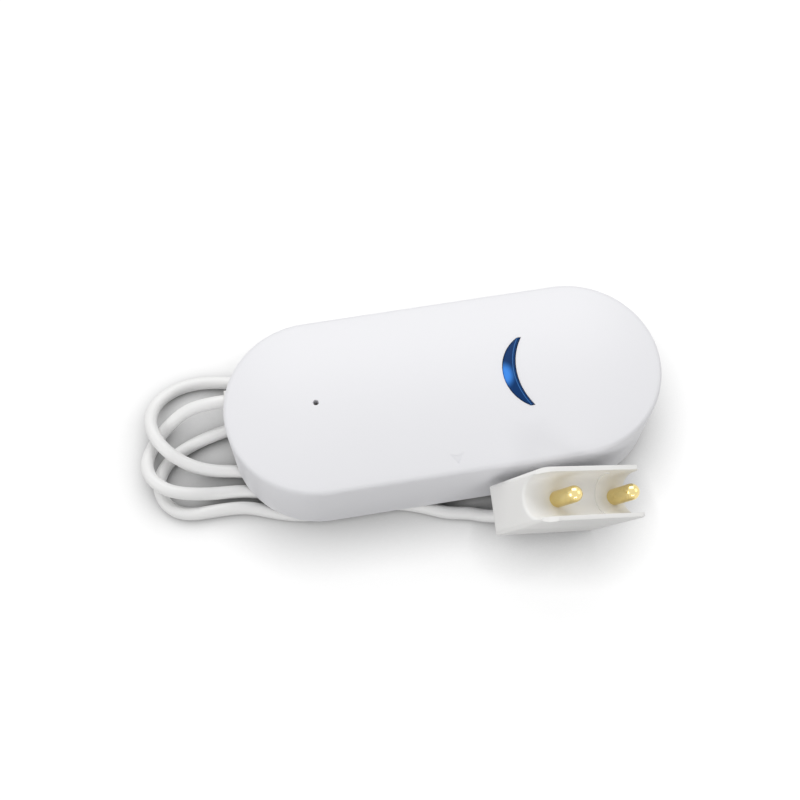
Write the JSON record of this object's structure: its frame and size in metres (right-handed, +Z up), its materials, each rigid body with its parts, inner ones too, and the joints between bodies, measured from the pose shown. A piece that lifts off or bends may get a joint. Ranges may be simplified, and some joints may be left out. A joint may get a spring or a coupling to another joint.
{
  "type": "water leak sensor",
  "caption": "Pill-shaped battery leak sensor with a crescent light, a lift-off cover and a gutter-shaped contact probe on a cord wound round its foot.",
  "frame": {"origin": "centre of the underside of the foot that the case stands on", "axes": "+X along the case towards the crescent light, +Y towards the long side away from the arrow mark, +Z up out of the crowned cover"},
  "size_m": [0.0921, 0.044, 0.024],
  "materials": {
    "case_white": "satin moulded",
    "probe_white": "satin moulded",
    "rubber_white": "matt",
    "cord_white": "satin",
    "lens_blue": "polished, tinted",
    "pin_gold": "gold plated, polished",
    "cell_wrap": "printed wrap",
    "contact_steel": "nickel plated",
    "screw_steel": "zinc plated",
    "board_green": "solder mask",
    "module_can": "tinned can",
    "chip_black": "moulded",
    "led_clear": "clear",
    "plunger_cream": "moulded",
    "connector_cream": "moulded",
    "wire_insulation": "satin",
    "resin_dark": "cast resin"
  },
  "bodies": {
    "base": {"base_shell": "case_white", "cord_gland": "rubber_white", "battery_front": "cell_wrap", "battery_rear": "cell_wrap", "contact_bridge": "contact_steel", "contact_plate": "contact_steel", "spring_front": "contact_steel", "spring_rear": "contact_steel", "main_board": "board_green", "board_screws": "screw_steel", "wifi_module": "module_can", "board_parts": "chip_black", "bulk_capacitor": "chip_black", "status_led": "led_clear", "reset_switch": "chip_black", "cord_connector": "connector_cream", "lead_wires": "wire_insulation", "probe_shell": "probe_white", "probe_cap": "probe_white", "probe_seal": "resin_dark", "probe_boot": "rubber_white", "probe_pin_left": "pin_gold", "probe_pin_right": "pin_gold", "sensor_cord": "cord_white"},
    "cover": {"front_cover": "case_white", "crescent_lens": "lens_blue"},
    "reset_key": {"reset_plunger": "plunger_cream"}
  },
  "joints": [
    {"name": "cover_lift", "type": "slide", "parent": "base", "child": "cover", "axis": [0, 0, 1], "range_m": [0, 0.016]},
    {"name": "reset_press", "type": "slide", "parent": "base", "child": "reset_key", "axis": [0, 0, -1], "range_m": [0, 0.00025], "stiffness_N_per_m": 1500}
  ]
}
